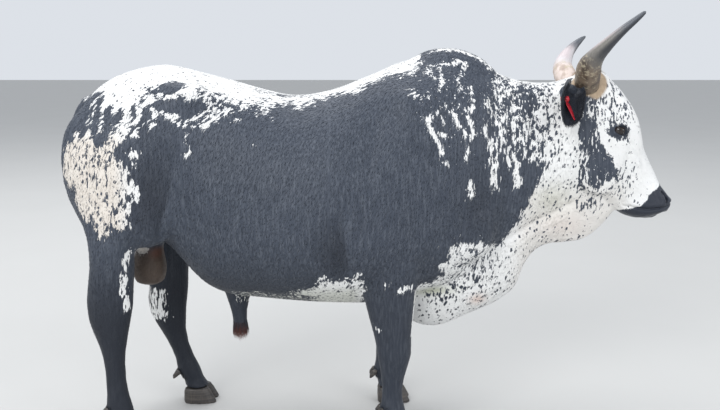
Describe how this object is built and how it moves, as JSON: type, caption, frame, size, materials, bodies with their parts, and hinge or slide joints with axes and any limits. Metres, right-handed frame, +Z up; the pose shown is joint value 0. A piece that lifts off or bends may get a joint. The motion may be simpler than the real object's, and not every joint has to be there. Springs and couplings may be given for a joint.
{
  "type": "standing nguni bull",
  "caption": "Life-size standing horned bull with a cervical hump, dewlap, cloven hooves and a plain ear tag, as a still model.",
  "frame": {"origin": "middle of the bounding box in plan, at floor level under the hooves", "axes": "+X towards the muzzle, +Y towards the bull's left side, +Z up"},
  "size_m": [2.2034, 0.6728, 1.5274],
  "materials": {
    "hoof": "satin dark horn",
    "white_coat": "short white hair with black speckles",
    "black_coat": "short sleek black hair",
    "tag": "plain red plastic",
    "eye": "wet dark eye",
    "horn": "satin horn, pale at the base and dark at the tip",
    "scrotum": "bare brown-grey skin"
  },
  "bodies": {
    "root": {"claw_fore_left_inner": "hoof", "claw_fore_left_outer": "hoof", "claw_fore_right_inner": "hoof", "claw_fore_right_outer": "hoof", "claw_hind_left_inner": "hoof", "claw_hind_left_outer": "hoof", "claw_hind_right_inner": "hoof", "claw_hind_right_outer": "hoof", "dewclaw_fore_left_inner": "hoof", "dewclaw_fore_left_outer": "hoof", "dewclaw_fore_right_inner": "hoof", "dewclaw_fore_right_outer": "hoof", "dewclaw_hind_left_inner": "hoof", "dewclaw_hind_left_outer": "hoof", "dewclaw_hind_right_inner": "hoof", "dewclaw_hind_right_outer": "hoof", "dewlap": "white_coat", "ear_left": "black_coat", "ear_right": "black_coat", "ear_tag": "tag", "eye_left": "eye", "eye_right": "eye", "foreleg_left": "black_coat", "foreleg_right": "black_coat", "head": "white_coat", "hindleg_left": "black_coat", "hindleg_right": "black_coat", "horn_left": "horn", "horn_right": "horn", "hump": "black_coat", "neck": "white_coat", "scrotum": "scrotum", "sheath": "black_coat", "tail": "black_coat", "tail_switch": "black_coat", "torso": "black_coat"}
  },
  "joints": []
}
